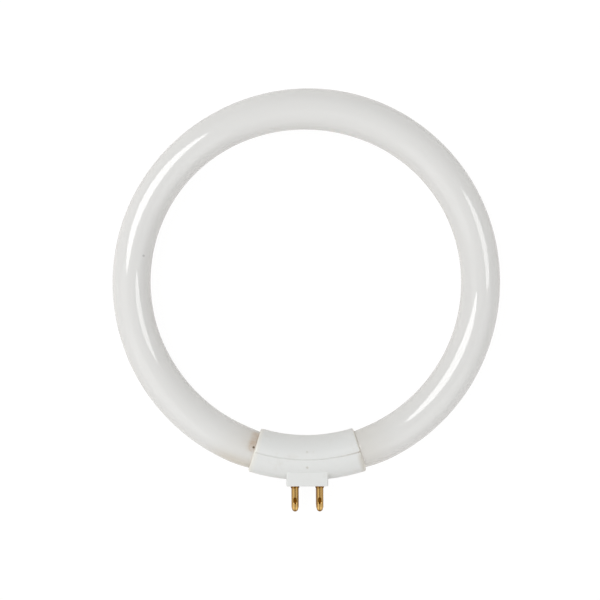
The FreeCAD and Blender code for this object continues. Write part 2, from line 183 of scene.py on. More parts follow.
class PinSettings(bpy.types.PropertyGroup):
    """Sizes and colours of the contact pins."""

    spacing_x: length("Spacing X", pin_low.x + pin_high.x, "Pin spacing along the ring")
    spacing_z: length("Spacing Z", pin_low.z + pin_high.z, "Pin spacing along the ring's axis")
    face: length("Block face", -shell_low.y, "Ring centre to the face of the pin block")
    reach: length("Reach", shell_low.y - pin_low.y, "Block face to pin tip")
    depth: length("Depth", pin_high.y - shell_low.y, "Block face to the inner end")
    radius: length("Radius", 1.18 * MILLIMETRE, "Radius of the pins")
    shank_radius: length("Shank radius", 1.0 * MILLIMETRE, "Radius of the pin inside the block")
    head_radius: length("Head radius", 1.4 * MILLIMETRE, "Radius of the spread inner end")
    head_height: length("Head height", 0.4 * MILLIMETRE, "Height of the spread inner end")
    bore_radius: length("Bore radius", 0.7 * MILLIMETRE, "Radius of the hollow inner end")
    throat_radius: length("Throat radius", 0.34 * MILLIMETRE, "Radius of the narrow end of the bore")
    throat_length: length("Throat length", 1.6 * MILLIMETRE, "Length of the narrow end of the bore")
    bore_stop: length("Bore stop", 0.4 * MILLIMETRE, "Bore floor to the block face")
    collar_radius: length("Collar radius", 1.41 * MILLIMETRE, "Radius of the collar")
    collar_height: length("Collar height", 0.9 * MILLIMETRE, "Height of the collar")
    collar_bevel: length("Collar bevel", 0.3 * MILLIMETRE, "Bevelled part of the collar's height")
    nose_length: length("Nose length", 1.5 * MILLIMETRE, "Length of the tapered and rounded nose")
    nose_taper: angle("Nose taper", 16.0, "Lean of the nose")
    crimp_height: length("Crimp height", 4.7 * MILLIMETRE, "Block face to the middle of the crimp")
    crimp_length: length("Crimp length", 2.1 * MILLIMETRE, "Length of the crimp dent")
    crimp_depth: length("Crimp depth", 0.45 * MILLIMETRE, "Depth of the crimp dent")
    crimp_lift: length("Crimp lift", 0.15 * MILLIMETRE, "Crimp tool axis outside the pin")
    sharp_angle: angle("Sharp angle", 40.0, "Edges that turn by more than this stay sharp")
    sides: count("Sides", 64, "Points round a pin")
    rings: count("Rings", 64, "Sections along the straight part of a pin")
    arcs: count("Arcs", 14, "Sections along the round of the nose")
    brass: colour("Brass", (0.72, 0.46, 0.165), "Bare brass")
    # The brown film, also used as painted shade on the pins' flanks and along their middles
    tarnish_and_shade: colour("Tarnish and shade", (0.18, 0.064, 0.003), "Brown film on the brass")
    roughness: share("Roughness", 0.17, "Roughness of the turned brass")
    crimp_roughness: share("Crimp roughness", 0.15, "Extra roughness in the crimp dent")
    groove_depth: length("Groove depth", 0.0015 * MILLIMETRE, "Depth of the turned grooves")


class WireSettings(bpy.types.PropertyGroup):
    """Colours of the lead wires."""

    metal: colour("Metal", (0.55, 0.53, 0.50), "Plain drawn wire")
    shade: share("Shade", 0.6, "Share of the metal's brightness that the drawing marks keep")
    roughness: share("Roughness", 0.35, "Roughness of the wire")


class StudioSettings(bpy.types.PropertyGroup):
    """Camera, lamps and floor."""

    camera_height: length("Camera height", 0.48, "Camera above the middle plane of the ring")
    camera_x: length("Camera X", -2.04 * MILLIMETRE, "Camera to the right of the ring's centre", least=-1.0)
    camera_y: length("Camera Y", -5.45 * MILLIMETRE, "Camera beyond the ring's centre", least=-1.0)
    camera_turn: angle("Camera turn", -0.3, "Turn of the camera about its line of sight")
    picture_width: length("Picture width", 0.194, "Width that the picture shows at the ring's middle plane")
    sky_level: share("Sky level", 0.16, "Light from above")
    horizon_level: share("Horizon level", 0.72, "Light from all round, near the floor")
    floor_reach: length("Floor reach", 12.0, "Middle of the floor to its edges")
    floor_glow: FloatProperty(name="Floor glow", description="Strength of the floor's white", default=1.04,
                              min=0.0)
    floor_white: share("Floor white", 0.92, "Share of that white in the picture, with shadows in the rest")
    floor_mirror: share("Floor mirror", 0.40, "Share of that white in reflections")
    floor_colour: colour("Floor colour", (0.85, 0.825, 0.80), "Pale paper on the floor")


def put(tree, socket, value):
    """Links a field or a socket to an input, or sets the input to a plain value."""
    if isinstance(value, Field):
        tree.links.new(value.socket, socket)
    elif isinstance(value, bpy.types.NodeSocket):
        tree.links.new(value, socket)
    else:
        socket.default_value = value


class Field:
    """A node socket with arithmetic, so that a formula in a node tree reads as one."""

    def __init__(self, tree, socket):
        self.tree = tree
        self.socket = socket

    def math(self, operation, *others):
        made = self.tree.nodes.new("ShaderNodeMath")
        made.operation = operation
        for index, value in enumerate((self,) + others):
            put(self.tree, made.inputs[index], value)
        return Field(self.tree, made.outputs[0])

    def __add__(self, other):
        return self.math("ADD", other)

    def __sub__(self, other):
        return self.math("SUBTRACT", other)

    def __mul__(self, other):
        return self.math("MULTIPLY", other)

    def __truediv__(self, other):
        return self.math("DIVIDE", other)

    def __neg__(self):
        return self.math("MULTIPLY", -1.0)

    def sine(self):
        return self.math("SINE")

    def cosine(self):
        return self.math("COSINE")

    def root(self):
        return self.math("SQRT")

    def size(self):
        return self.math("ABSOLUTE")

    def least(self, other):
        return self.math("MINIMUM", other)

    def most(self, other):
        return self.math("MAXIMUM", other)

    def clamped(self):
        return self.least(1.0).most(0.0)

    def from_to(self, low, high):
        """Low where this field is 0, high where it is 1, straight between them."""
        return self * (high - low) + low

    def between(self, first, last):
        """0 at first, 1 at last, smooth between them."""
        made = self.tree.nodes.new("ShaderNodeMapRange")
        made.interpolation_type = "SMOOTHSTEP"
        for name, value in (("Value", self), ("From Min", first), ("From Max", last)):
            put(self.tree, made.inputs[name], value)
        return Field(self.tree, made.outputs["Result"])


def distance(first, second):
    """The straight way that two fields at right angles make."""
    return (first * first + second * second).root()


def add(tree, kind, inputs=None, **attributes):
    """Adds a node with its settings and inputs."""
    made = tree.nodes.new(kind)
    for name, value in attributes.items():
        setattr(made, name, value)
    for name, value in (inputs or {}).items():
        put(tree, made.inputs[name], value)
    return made


def vector(tree, x, y, z):
    return add(tree, "ShaderNodeCombineXYZ", {"X": x, "Y": y, "Z": z}).outputs[0]


def parts_of(tree, socket):
    """The three coordinates of a vector socket as fields."""
    split = add(tree, "ShaderNodeSeparateXYZ", {"Vector": socket})
    return [Field(tree, output) for output in split.outputs]


def new_tree(name, inputs):
    """A geometry node tree with these named inputs, and the fields that carry them."""
    tree = bpy.data.node_groups.new(name, "GeometryNodeTree")
    tree.is_modifier = True
    for title, kind in inputs.items():
        tree.interface.new_socket(title, in_out="INPUT", socket_type=kind)
    tree.interface.new_socket("Geometry", in_out="OUTPUT", socket_type="NodeSocketGeometry")
    source = tree.nodes.new("NodeGroupInput")
    return tree, {title: Field(tree, source.outputs[title]) for title in inputs}


def close_tree(tree, geometry, material):
    """Ends a tree in smooth shading, real geometry and its material."""
    smooth = add(tree, "GeometryNodeSetShadeSmooth", {"Geometry": geometry})
    solid = add(tree, "GeometryNodeRealizeInstances", {"Geometry": smooth.outputs[0]})
    painted = add(tree, "GeometryNodeSetMaterial", {"Geometry": solid.outputs[0], "Material": material})
    target = tree.nodes.new("NodeGroupOutput")
    tree.links.new(painted.outputs[0], target.inputs[0])


def titled(settings, titles):
    """The settings that these titles name, such as tube_radius for Tube Radius."""
    return {title: getattr(settings, title.lower().replace(" ", "_")) for title in titles}


def grow(name, tree, values):
    """Runs a tree on an empty mesh with these inputs and gives the result as a plain mesh object."""
    seed = bpy.data.objects.new(name + "_seed", bpy.data.meshes.new(name + "_seed"))
    bpy.context.scene.collection.objects.link(seed)
    modifier = seed.modifiers.new("shape", "NODES")
    modifier.node_group = tree
    for item in tree.interface.items_tree:
        if item.in_out == "INPUT":
            modifier[item.identifier] = values[item.name]
    graph = bpy.context.evaluated_depsgraph_get()
    mesh = bpy.data.meshes.new_from_object(seed.evaluated_get(graph), depsgraph=graph)
    bpy.data.objects.remove(seed)
    if not mesh.polygons:
        raise RuntimeError(name + " came out empty")
    mesh.name = name
    return bpy.data.objects.new(name, mesh)


def place(piece, nodes):
    """Shows a finished piece in the place of its CAD nodes."""
    bpy.context.scene.collection.objects.link(piece)
    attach(piece, "root")
    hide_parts(*nodes)


def new_material(name):
    """A material with its tree, its shader and the object coordinates."""
    material = bpy.data.materials.new(name)
    material.use_nodes = True
    tree = material.node_tree
    shader = tree.nodes["Principled BSDF"]
    place_of = tree.nodes.new("ShaderNodeTexCoord").outputs["Object"]
    return material, tree, shader, place_of


def set_shader(tree, shader, values):
    """Links or sets the shader's inputs by their names."""
    for name, value in values.items():
        put(tree, shader.inputs[name], value)


def opaque(value):
    """A colour setting with its alpha, or a socket as it is."""
    return value if isinstance(value, bpy.types.NodeSocket) else (*value, 1.0)


def mix(tree, factor, first, second):
    """A colour between two others."""
    made = add(tree, "ShaderNodeMix", data_type="RGBA")
    # The node has sockets of the same names for other kinds of data, so the colour sockets go by their places
    factor_place, first_place, second_place, result_place = 0, 6, 7, 2
    put(tree, made.inputs[factor_place], factor)
    put(tree, made.inputs[first_place], opaque(first))
    put(tree, made.inputs[second_place], opaque(second))
    return made.outputs[result_place]


def noise(tree, place_of, scale, detail=2.0, roughness=0.5, stretch=(1.0, 1.0, 1.0)):
    """Soft noise from 0 to 1 on object coordinates, with scale in waves to the metre."""
    spread = add(tree, "ShaderNodeMapping", {"Vector": place_of, "Scale": stretch})
    made = add(tree, "ShaderNodeTexNoise", {"Vector": spread.outputs[0], "Scale": scale, "Detail": detail,
                                            "Roughness": roughness})
    return Field(tree, made.outputs[0])


def bump(tree, shader, height, depth):
    """Raises the surface by a height field times a depth in metres."""
    made = add(tree, "ShaderNodeBump", {"Strength": 1.0, "Distance": depth, "Height": height})
    tree.links.new(made.outputs[0], shader.inputs["Normal"])


# Where a point lies on the ring: its turn from straight down, positive to the left, its way past the end of
# the base, its way outward from the tube's crest, and its height above the ring's middle plane
RingPlace = namedtuple("RingPlace", "turn beyond across height")

# Smooth steps on the ring, from where a mark is none to where it is full: turns in radians, ways in metres
LEFT_TURN = (0.0, 0.01)
RIGHT_TURN = (0.0, -0.01)
FRONT_HEIGHT = (0.0, 1.0 * MILLIMETRE)
CREST_HEIGHT = (0.0, 3.0 * MILLIMETRE)
# Painted light beside the base's ends, from where it is none to where it is full
JUNCTION_LIGHT_BEYOND = (0.8 * MILLIMETRE, 0.1 * MILLIMETRE)
WARM_ACROSS = (1.8 * MILLIMETRE, 5.2 * MILLIMETRE)
STAIN_OUTER_ACROSS = (1.2 * MILLIMETRE, -1.8 * MILLIMETRE)
STAIN_INNER_ACROSS = (-6.4 * MILLIMETRE, -5.2 * MILLIMETRE)
HALO_ALONG = (-0.3 * MILLIMETRE, 0.6 * MILLIMETRE)
RIM_BEYOND = (-0.5 * MILLIMETRE, -0.1 * MILLIMETRE)
CORNER_BEYOND = (-1.2 * MILLIMETRE, -0.2 * MILLIMETRE)
# Painted shade on the outer shell beside the right end, from where it is none to where it is full
RIGHT_SHADE_BEYOND = (-1.9 * MILLIMETRE, -0.5 * MILLIMETRE)
RIGHT_SHADE_RIM_BEYOND = (0.0, -0.4 * MILLIMETRE)
RIGHT_SHADE_ACROSS = (-0.5 * MILLIMETRE, 2.0 * MILLIMETRE)
OUTER_ACROSS = (-1.0 * MILLIMETRE, 1.0 * MILLIMETRE)

# Smooth steps on a pin, from its block's face and from its tip, in metres
RUBBED_HEIGHT = (5.6 * MILLIMETRE, 6.4 * MILLIMETRE)
TIP_WAY = (0.9 * MILLIMETRE, 0.2 * MILLIMETRE)

# Smooth steps in noise
HANDLED_NOISE = (0.56, 0.80)
TARNISHED_NOISE = (0.40, 0.85)
DRAWN_NOISE = (0.3, 0.8)

# Thickness of the film on the pins, where 1 hides the brass: all over, in clouds, and what each place adds
# The flanks and the line along each pin's middle are painted shade: dark reflections painted in as thicker
# film
FILM_ALL_OVER = 0.16
FILM_CLOUDS = 0.25
FILM_PLACES = {"crimp": 0.9, "collar": 0.55, "line": 0.3, "painted_flank_shade": 0.6, "rubbed": -0.35, "tip": 0.9}


def ring_place(tree, place_of, glass, base):
    """The place on the ring as fields from the object coordinates."""
    x, y, z = parts_of(tree, place_of)
    turn = (-x).math("ARCTAN2", -y)
    beyond = (turn.size() - base.half_angle) * glass.ring_radius
    return RingPlace(turn, beyond, distance(x, y) - glass.ring_radius, z)


def left_front(at):
    """The left half of the tube's front."""
    return at.turn.between(*LEFT_TURN) * at.height.between(*CREST_HEIGHT)


def dot(way, radius):
    """A dot with a soft edge, from the way to its middle."""
    return way.between(radius * 1.3, radius * 0.5)


def uneven(field, middle, spread):
    """Values within a spread of their middle, from a field between 0 and 1."""
    return field.from_to(middle - spread, middle + spread)


def used_coat(tree, place_of, at, glass):
    """White coat, greyed towards the base, painted lighter right beside it against the shade there, and
    yellowed outside at the left end.
    """
    cloud = noise(tree, place_of, scale=90.0, detail=3.0)
    grey = at.beyond.between(glass.end_fade, 0.0) * cloud.from_to(0.4, 1.1)
    tone = mix(tree, grey.clamped(), glass.coat, glass.end_coat)
    # Painted light: the coat is lighter right beside the base's ends, where shade falls
    tone = mix(tree, at.beyond.between(*JUNCTION_LIGHT_BEYOND), tone, glass.junction_light_coat)
    warm = left_front(at) * at.beyond.between(glass.end_fade, glass.end_fade * 0.3)
    return mix(tree, warm * at.across.between(*WARM_ACROSS) * glass.warmth, tone, glass.warm_coat)


def stained(tree, place_of, tone, at, glass):
    """Adds the streaky brown stain at the base's left end, its dark spot and the faint arc round the spot."""
    streaks = noise(tree, place_of, scale=1100.0, detail=3.0, roughness=0.65, stretch=(0.22, 1.0, 1.0))
    left = left_front(at)
    patch = left * at.across.between(*STAIN_OUTER_ACROSS) * at.across.between(*STAIN_INNER_ACROSS)
    near = at.beyond.between(glass.stain_reach, glass.stain_reach * 0.4) * glass.stain_strength
    haze = at.beyond.between(glass.end_fade * 0.45, 0.0) * glass.haze_strength
    stain = patch * (near + haze) * streaks.from_to(-0.05, 1.25)
    tone = mix(tree, stain.clamped(), tone, glass.stain)
    along = at.beyond - glass.spot_along
    way = distance(along, at.across + glass.spot_inset)
    halo = way.between(glass.halo_radius * 0.75, glass.halo_radius)
    halo = halo * way.between(glass.halo_radius * 1.3, glass.halo_radius) * along.between(*HALO_ALONG)
    tone = mix(tree, halo * left * streaks * glass.halo_strength, tone, glass.stain)
    return mix(tree, dot(way, glass.spot_radius) * left, tone, glass.spot)


def specked(tree, tone, at, glass):
    """Adds the small grey speck on the front of the ring."""
    along = (at.turn - glass.speck_turn) * glass.ring_radius
    speck = dot(distance(along, at.across + glass.speck_inset), glass.speck_radius)
    return mix(tree, speck * at.height.between(*FRONT_HEIGHT), tone, glass.speck)


def coated_glass(glass, base):
    """Glossy clear glass over a white coat with its marks of use, and painted light beside the base's ends.
    """
    material, tree, shader, place_of = new_material("coated_glass")
    at = ring_place(tree, place_of, glass, base)
    tone = used_coat(tree, place_of, at, glass)
    tone = stained(tree, place_of, tone, at, glass)
    tone = specked(tree, tone, at, glass)
    set_shader(tree, shader, {"Base Color": tone, "Roughness": glass.roughness, "IOR": glass.refraction})
    bump(tree, shader, noise(tree, place_of, scale=40.0, detail=1.0), glass.wave_depth)
    return material


def handled_plastic(tree, place_of, at, base):
    """White plastic with faint handling marks, yellowed and painted lighter as a painted highlight at both
    end rims and further in at the left one.
    """
    cloud = noise(tree, place_of, scale=220.0, detail=4.0, roughness=0.6)
    tone = mix(tree, cloud.between(*HANDLED_NOISE) * base.mark_strength, base.plastic, base.grime_and_shade)
    left = at.turn.between(*LEFT_TURN) * cloud.from_to(0.2, 1.0)
    # Yellowing and a painted highlight, on both end rims and further in at the left end
    yellowed = at.beyond.between(-base.yellow_and_highlight_reach, 0.0) * left
    return mix(tree, yellowed.most(at.beyond.between(*RIM_BEYOND)), tone, base.yellow_and_highlight)


def dusty_seam(tree, tone, at, base):
    """Adds the brown dust in the seam, and makes the seam darker to the right and darkest in the right
    corner.
    """
    seam = at.across.size().between(base.seam_width, base.seam_width * 0.3)
    right = at.turn.between(-base.half_angle * 0.35, -base.half_angle)
    # Darker towards the right end of the seam, and darkest in its right corner
    corner = at.beyond.between(*CORNER_BEYOND) * base.seam_corner_darkening
    return mix(tree, seam * (right * (corner + base.seam_right_darkening) + base.seam_dust), tone, base.seam_dirt)


def shaded_right_end(tree, tone, at, base):
    """Adds painted shade, in the grime colour, on the outer shell beside its right end."""
    # Painted shade beside the right end of the outer shell
    right_end_shade = at.beyond.between(*RIGHT_SHADE_BEYOND) * at.beyond.between(*RIGHT_SHADE_RIM_BEYOND)
    right_end_shade = right_end_shade * at.turn.between(*RIGHT_TURN) * at.across.between(*RIGHT_SHADE_ACROSS)
    return mix(tree, right_end_shade * base.right_end_shade_strength, tone, base.grime_and_shade)


def shaded_dimples(tree, tone, at, base, glass):
    """Adds painted shade, in the grime colour, in the two moulding dimples, more in the outer one."""
    way = distance(at.turn * glass.ring_radius, at.across.size() - base.dimple_offset)
    # Painted shade darkens the two dimples here, beyond the shade of their hollows
    dirt = way.between(base.dimple_radius * 1.5, base.dimple_radius * 0.7) * at.height.between(*FRONT_HEIGHT)
    dirt = dirt * at.across.between(*OUTER_ACROSS).from_to(base.inner_dimple_shade, base.outer_dimple_shade)
    return mix(tree, dirt, tone, base.grime_and_shade)


def moulded_plastic(base, glass):
    """Satin white plastic with a fine moulded grain, its marks of use, painted shade and a painted highlight.
    """
    material, tree, shader, place_of = new_material("moulded_plastic")
    at = ring_place(tree, place_of, glass, base)
    tone = handled_plastic(tree, place_of, at, base)
    tone = dusty_seam(tree, tone, at, base)
    tone = shaded_right_end(tree, tone, at, base)
    tone = shaded_dimples(tree, tone, at, base, glass)
    grain = noise(tree, place_of, scale=2600.0, detail=2.0)
    rough = uneven(grain, base.roughness, spread=0.06)
    set_shader(tree, shader, {"Base Color": tone, "Roughness": rough})
    bump(tree, shader, grain, base.grain_depth)
    return material


def pin_places(tree, place_of, pins):
    """Places on a pin where the film is thicker, and the rubbed part of the nose where it is thinner; the
    flanks and the line along the middle are painted shade, standing in for dark reflections.
    """
    x, y = parts_of(tree, place_of)[:2]
    height = -y - pins.face
    off_axis = (x.size() - pins.spacing_x / 2).size()
    narrowed = height.between(pins.reach - pins.nose_length, pins.reach) * (pins.radius * 0.4)
    # Painted shade: darker flanks on each side of a pin, standing in for dark reflections
    painted_flank_shade = (off_axis + narrowed).between(pins.radius * 0.60, pins.radius * 0.95)
    return {"collar": height.between(pins.collar_height * 1.2, pins.collar_height * 0.4),
            # Painted shade: a dark line along the middle of each pin, for the dark reflection between its
            # highlights
            "line": off_axis.between(pins.radius * 0.30, pins.radius * 0.05),
            "painted_flank_shade": painted_flank_shade,
            "rubbed": height.between(*RUBBED_HEIGHT) * (-painted_flank_shade + 1.0),
            "tip": (-height + pins.reach).between(*TIP_WAY)}


def turned_brass(pins):
    """Turned brass with fine grooves round it under a thin brown film, and painted shade on its flanks and
    along its middle.
    """
    material, tree, shader, place_of = new_material("turned_brass")
    cloud = noise(tree, place_of, scale=700.0, detail=3.0, roughness=0.6, stretch=(1.0, 0.5, 1.0))
    crimp = Field(tree, add(tree, "ShaderNodeAttribute", attribute_name="crimp").outputs["Fac"])
    places = {"crimp": crimp, **pin_places(tree, place_of, pins)}
    # Besides the brown film, this also holds painted shade on the flanks and along the middle
    film = cloud.between(*TARNISHED_NOISE) * FILM_CLOUDS + FILM_ALL_OVER
    for name, thickness in FILM_PLACES.items():
        film = film + places[name] * thickness
    tone = mix(tree, film.clamped(), pins.brass, pins.tarnish_and_shade)
    rough = uneven(cloud, pins.roughness, spread=0.05) + crimp * pins.crimp_roughness
    set_shader(tree, shader, {"Base Color": tone, "Roughness": rough, "Metallic": 1.0})
    grooves = noise(tree, place_of, scale=9000.0, detail=2.0, roughness=0.6, stretch=(0.08, 1.0, 0.08))
    bump(tree, shader, grooves, pins.groove_depth)
    return material


def plain_wire(wires):
    """Drawn wire with fine lengthwise marks."""
    material, tree, shader, place_of = new_material("plain_wire")
    marks = noise(tree, place_of, scale=4000.0, detail=2.0, stretch=(1.0, 0.2, 1.0))
    shaded = tuple(part * wires.shade for part in wires.metal)
    tone = mix(tree, marks.between(*DRAWN_NOISE), wires.metal, shaded)
    rough = uneven(marks, wires.roughness, spread=0.1)
    set_shader(tree, shader, {"Base Color": tone, "Roughness": rough, "Metallic": 1.0})
    return material


TUBE_SIZES = ("Ring Radius", "Tube Radius", "End Angle", "End Round", "Tip Radius", "Tip Length", "Grip",
              "Swell", "Swell Turn", "Waist", "Waist Turn", "Wander", "Wander Turn")
TUBE_COUNTS = ("Steps", "Sides", "Tip Steps")


def round_end(way, rounding):
    """Share of a rounding that a tube has opened by, from 0 at its end to 1 where the rounding is over."""
    inside = (-(way / rounding) + 1.0).most(0.0)
    return (-(inside * inside) + 1.0).root()


def swept(tree, path, circle, section):
    """A closed tube along a path, with its radius from a field."""
    return add(tree, "GeometryNodeCurveToMesh", {"Curve": path.outputs[0], "Profile Curve": circle.outputs[0],
                                                 "Scale": section, "Fill Caps": True})


def ring_of_glass(tree, inputs, along, start, circle):
    """The tube round the ring between its rounded ends, a little uneven where the base doesn't hold it."""
    ring = inputs["Ring Radius"]
    crowding, waists, wanders = 0.9, 2.0, 3.0
    sweep = inputs["End Angle"] * -2.0 + TAU
    line = add(tree, "GeometryNodeCurvePrimitiveLine", {"End": (1.0, 0.0, 0.0)})
    points = add(tree, "GeometryNodeResampleCurve", {"Curve": line.outputs[0], "Count": inputs["Steps"]})
    eased = along - (along * TAU).sine() * (crowding / TAU)
    turn = eased * sweep + start
    from_end = eased.least(-eased + 1.0) * sweep * ring
    unheld = from_end.between(inputs["Grip"], inputs["Grip"] * 2.0)
    middle = ring + ((turn - inputs["Wander Turn"]) * wanders).cosine() * inputs["Wander"] * unheld
    spot = vector(tree, turn.cosine() * middle, turn.sine() * middle, 0.0)
    path = add(tree, "GeometryNodeSetPosition", {"Geometry": points.outputs[0], "Position": spot})
    swell = (turn - inputs["Swell Turn"]).cosine() * inputs["Swell"]
    waist = ((turn - inputs["Waist Turn"]) * waists).cosine() * inputs["Waist"]
    rounded_off = inputs["End Round"] * (-round_end(from_end, inputs["End Round"]) + 1.0)
    section = inputs["Tube Radius"] + (swell + waist) * unheld - rounded_off
    return swept(tree, path, circle, section)


def exhaust_tip(tree, inputs, along, start, circle):
    """The sealed tip through which the tube was emptied, on the end where the ring starts."""
    bluntness = 0.02
    foot_x, foot_y = start.cosine() * inputs["Ring Radius"], start.sine() * inputs["Ring Radius"]
    head_x = foot_x + start.sine() * inputs["Tip Length"]
    head_y = foot_y - start.cosine() * inputs["Tip Length"]
    line = add(tree, "GeometryNodeCurvePrimitiveLine", {"Start": vector(tree, foot_x, foot_y, 0.0),
                                                        "End": vector(tree, head_x, head_y, 0.0)})
    points = add(tree, "GeometryNodeResampleCurve", {"Curve": line.outputs[0], "Count": inputs["Tip Steps"]})
    to_head = (-along + 1.0) * inputs["Tip Length"]
    section = inputs["Tip Radius"] * round_end(to_head, inputs["Tip Radius"]).most(bluntness)
    return swept(tree, points, circle, section)


def bent_tube_tree():
    """The glass: the tube bent to its ring, and the exhaust tip."""
    tree, inputs = new_tree("bent_tube", {**dict.fromkeys(TUBE_SIZES, "NodeSocketFloat"),
                                          **dict.fromkeys(TUBE_COUNTS, "NodeSocketInt"),
                                          "Glass": "NodeSocketMaterial"})
    start = inputs["End Angle"] - math.pi / 2
    along = Field(tree, tree.nodes.new("GeometryNodeSplineParameter").outputs["Factor"])
    circle = add(tree, "GeometryNodeCurvePrimitiveCircle", {"Resolution": inputs["Sides"], "Radius": 1.0})
    both = tree.nodes.new("GeometryNodeJoinGeometry")
    for part in (exhaust_tip, ring_of_glass):
        made = part(tree, inputs, along, start, circle)
        tree.links.new(made.outputs[0], both.inputs[0])
    close_tree(tree, both.outputs[0], inputs["Glass"])
    return tree


def pin_outline(pins):
    """Radius and height above the block's face along a pin, from the floor of its bore round to its tip."""
    head_foot = pins.head_height - pins.depth
    throat_start = -pins.bore_stop - pins.throat_length
    outline = [(0.0, -pins.bore_stop), (pins.throat_radius, -pins.bore_stop),
               (pins.throat_radius, throat_start), (pins.bore_radius, throat_start - pins.bore_radius),
               (pins.bore_radius, -pins.depth), (pins.head_radius, -pins.depth),
               (pins.head_radius, head_foot), (pins.shank_radius, head_foot),
               (pins.shank_radius, 0.0), (pins.collar_radius, 0.0),
               (pins.collar_radius, pins.collar_height - pins.collar_bevel)]
    step = (pins.reach - pins.nose_length - pins.collar_height) / pins.rings
    outline += [(pins.radius, pins.collar_height + step * ring) for ring in range(pins.rings + 1)]
    lean_sine, lean_cosine = math.sin(pins.nose_taper), math.cos(pins.nose_taper)
    nose_round = (pins.radius * lean_cosine - pins.nose_length * lean_sine) / (1 - lean_sine)
    for arc in range(pins.arcs):
        turn = pins.nose_taper + (math.pi / 2 - pins.nose_taper) * arc / pins.arcs
        outline.append((nose_round * math.cos(turn), pins.reach - nose_round + nose_round * math.sin(turn)))
    return outline + [(0.0, pins.reach)]


def pressed(pins, x, z, height):
    """Z of a point of a pin after the crimp tool, a rod with round ends, has pressed into its front."""
    punch = pins.crimp_lift + pins.crimp_depth
    past = max(abs(height - pins.crimp_height) - pins.crimp_length / 2 + punch, 0.0)
    room = punch * punch - x * x - past * past
    if room <= 0 or z <= 0:
        return z
    return min(z, pins.radius + pins.crimp_lift - math.sqrt(room))


def turned_pin(pins):
    """One pin, turned about its axis with the crimp pressed into its front, as a mesh object.

    The attribute crimp, for the film, is full before the dent is deepest.
    """
    crimp_gain = 1.6
    shape = bmesh.new()
    crimp = shape.verts.layers.float.new("crimp")
    rows = []
    for radius, height in pin_outline(pins):
        row = []
        for side in range(pins.sides if radius > 0 else 1):
            turn = TAU * side / pins.sides
            x, z = radius * math.cos(turn), radius * math.sin(turn)
            lower = pressed(pins, x, z, height)
            point = shape.verts.new((x, -height, lower))
            point[crimp] = min((z - lower) / pins.crimp_depth * crimp_gain, 1.0)
            row.append(point)
        rows.append(row)
    for first, second in zip(rows, rows[1:]):
        for side in range(pins.sides):
            corners = [first[side % len(first)], first[(side + 1) % len(first)],
                       second[(side + 1) % len(second)], second[side % len(second)]]
            shape.faces.new(list(dict.fromkeys(corners)))
    bmesh.ops.recalc_face_normals(shape, faces=shape.faces)
    mesh = bpy.data.meshes.new("turned_pin")
    shape.to_mesh(mesh)
    shape.free()
    return bpy.data.objects.new("turned_pin", mesh)


PIN_SIZES = ("Spacing X", "Spacing Z", "Face")


def pin_set_tree():
    """Sets one pin on each corner of a grid, the rear pair turned to show their crimps to the rear."""
    tree, inputs = new_tree("pin_set", {"Pin": "NodeSocketObject",
                                        **dict.fromkeys(PIN_SIZES, "NodeSocketFloat"),
                                        "Brass": "NodeSocketMaterial"})
    grid = add(tree, "GeometryNodeMeshGrid", {"Size X": inputs["Spacing X"], "Size Y": inputs["Spacing Z"],
                                              "Vertices X": 2, "Vertices Y": 2})
    x, y, z = parts_of(tree, tree.nodes.new("GeometryNodeInputPosition").outputs[0])
    spot = vector(tree, x, -inputs["Face"], y)
    corners = add(tree, "GeometryNodeSetPosition", {"Geometry": grid.outputs[0], "Position": spot})
    half_turn = z.math("LESS_THAN", 0.0) * math.pi
    facing = add(tree, "FunctionNodeEulerToRotation", {"Euler": vector(tree, 0.0, half_turn, 0.0)})
    pin = add(tree, "GeometryNodeObjectInfo", {"Object": inputs["Pin"]})
    pins = add(tree, "GeometryNodeInstanceOnPoints", {"Points": corners.outputs[0],
                                                     "Instance": pin.outputs["Geometry"],
                                                     "Rotation": facing.outputs[0]})
    close_tree(tree, pins.outputs[0], inputs["Brass"])
    return tree


class RINGLAMP_OT_bend_glass_tube(bpy.types.Operator):
    """Bends the white-coated glass tube to its ring"""

    bl_idname = "ringlamp.bend_glass_tube"
    bl_label = "Bend Glass Tube"

    def execute(self, context):
        glass = context.scene.ring_glass
        values = titled(glass, TUBE_SIZES + TUBE_COUNTS)
        values["Glass"] = coated_glass(glass, context.scene.ring_base)
        place(grow("glass_ring", bent_tube_tree(), values), ["glass_tube"])
        return {"FINISHED"}


class RINGLAMP_OT_mould_base(bpy.types.Operator):
    """Finishes the two shells of the base"""

    bl_idname = "ringlamp.mould_base"
    bl_label = "Mould Base"

    def execute(self, context):
        plastic = moulded_plastic(context.scene.ring_base, context.scene.ring_glass)
        for name in SHELL_NODES:
            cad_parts[name].material_slots[0].material = plastic
        return {"FINISHED"}


class RINGLAMP_OT_set_pins(bpy.types.Operator):
    """Sets the four contact pins"""

    bl_idname = "ringlamp.set_pins"
    bl_label = "Set Contact Pins"

    def execute(self, context):
        pins = context.scene.ring_pins
        pin = turned_pin(pins)
        context.scene.collection.objects.link(pin)
        values = {"Pin": pin, **titled(pins, PIN_SIZES), "Brass": turned_brass(pins)}
        pieces = grow("contact_pins", pin_set_tree(), values)
        bpy.data.objects.remove(pin)
        pieces.data.set_sharp_from_angle(angle=pins.sharp_angle)
        place(pieces, PIN_NODES)
        return {"FINISHED"}


class RINGLAMP_OT_finish_wires(bpy.types.Operator):
    """Finishes the lead wires inside the base"""

    bl_idname = "ringlamp.finish_wires"
    bl_label = "Finish Lead Wires"

    def execute(self, context):
        metal = plain_wire(context.scene.ring_wires)
        for name in WIRE_NODES:
            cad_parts[name].material_slots[0].material = metal
        return {"FINISHED"}


# An oval lamp that faces the ring's centre: its turn about Z and its lean from straight above in degrees, its
# width, height and distance in metres
Softbox = namedtuple("Softbox", "name turn lean width height radiance distance")

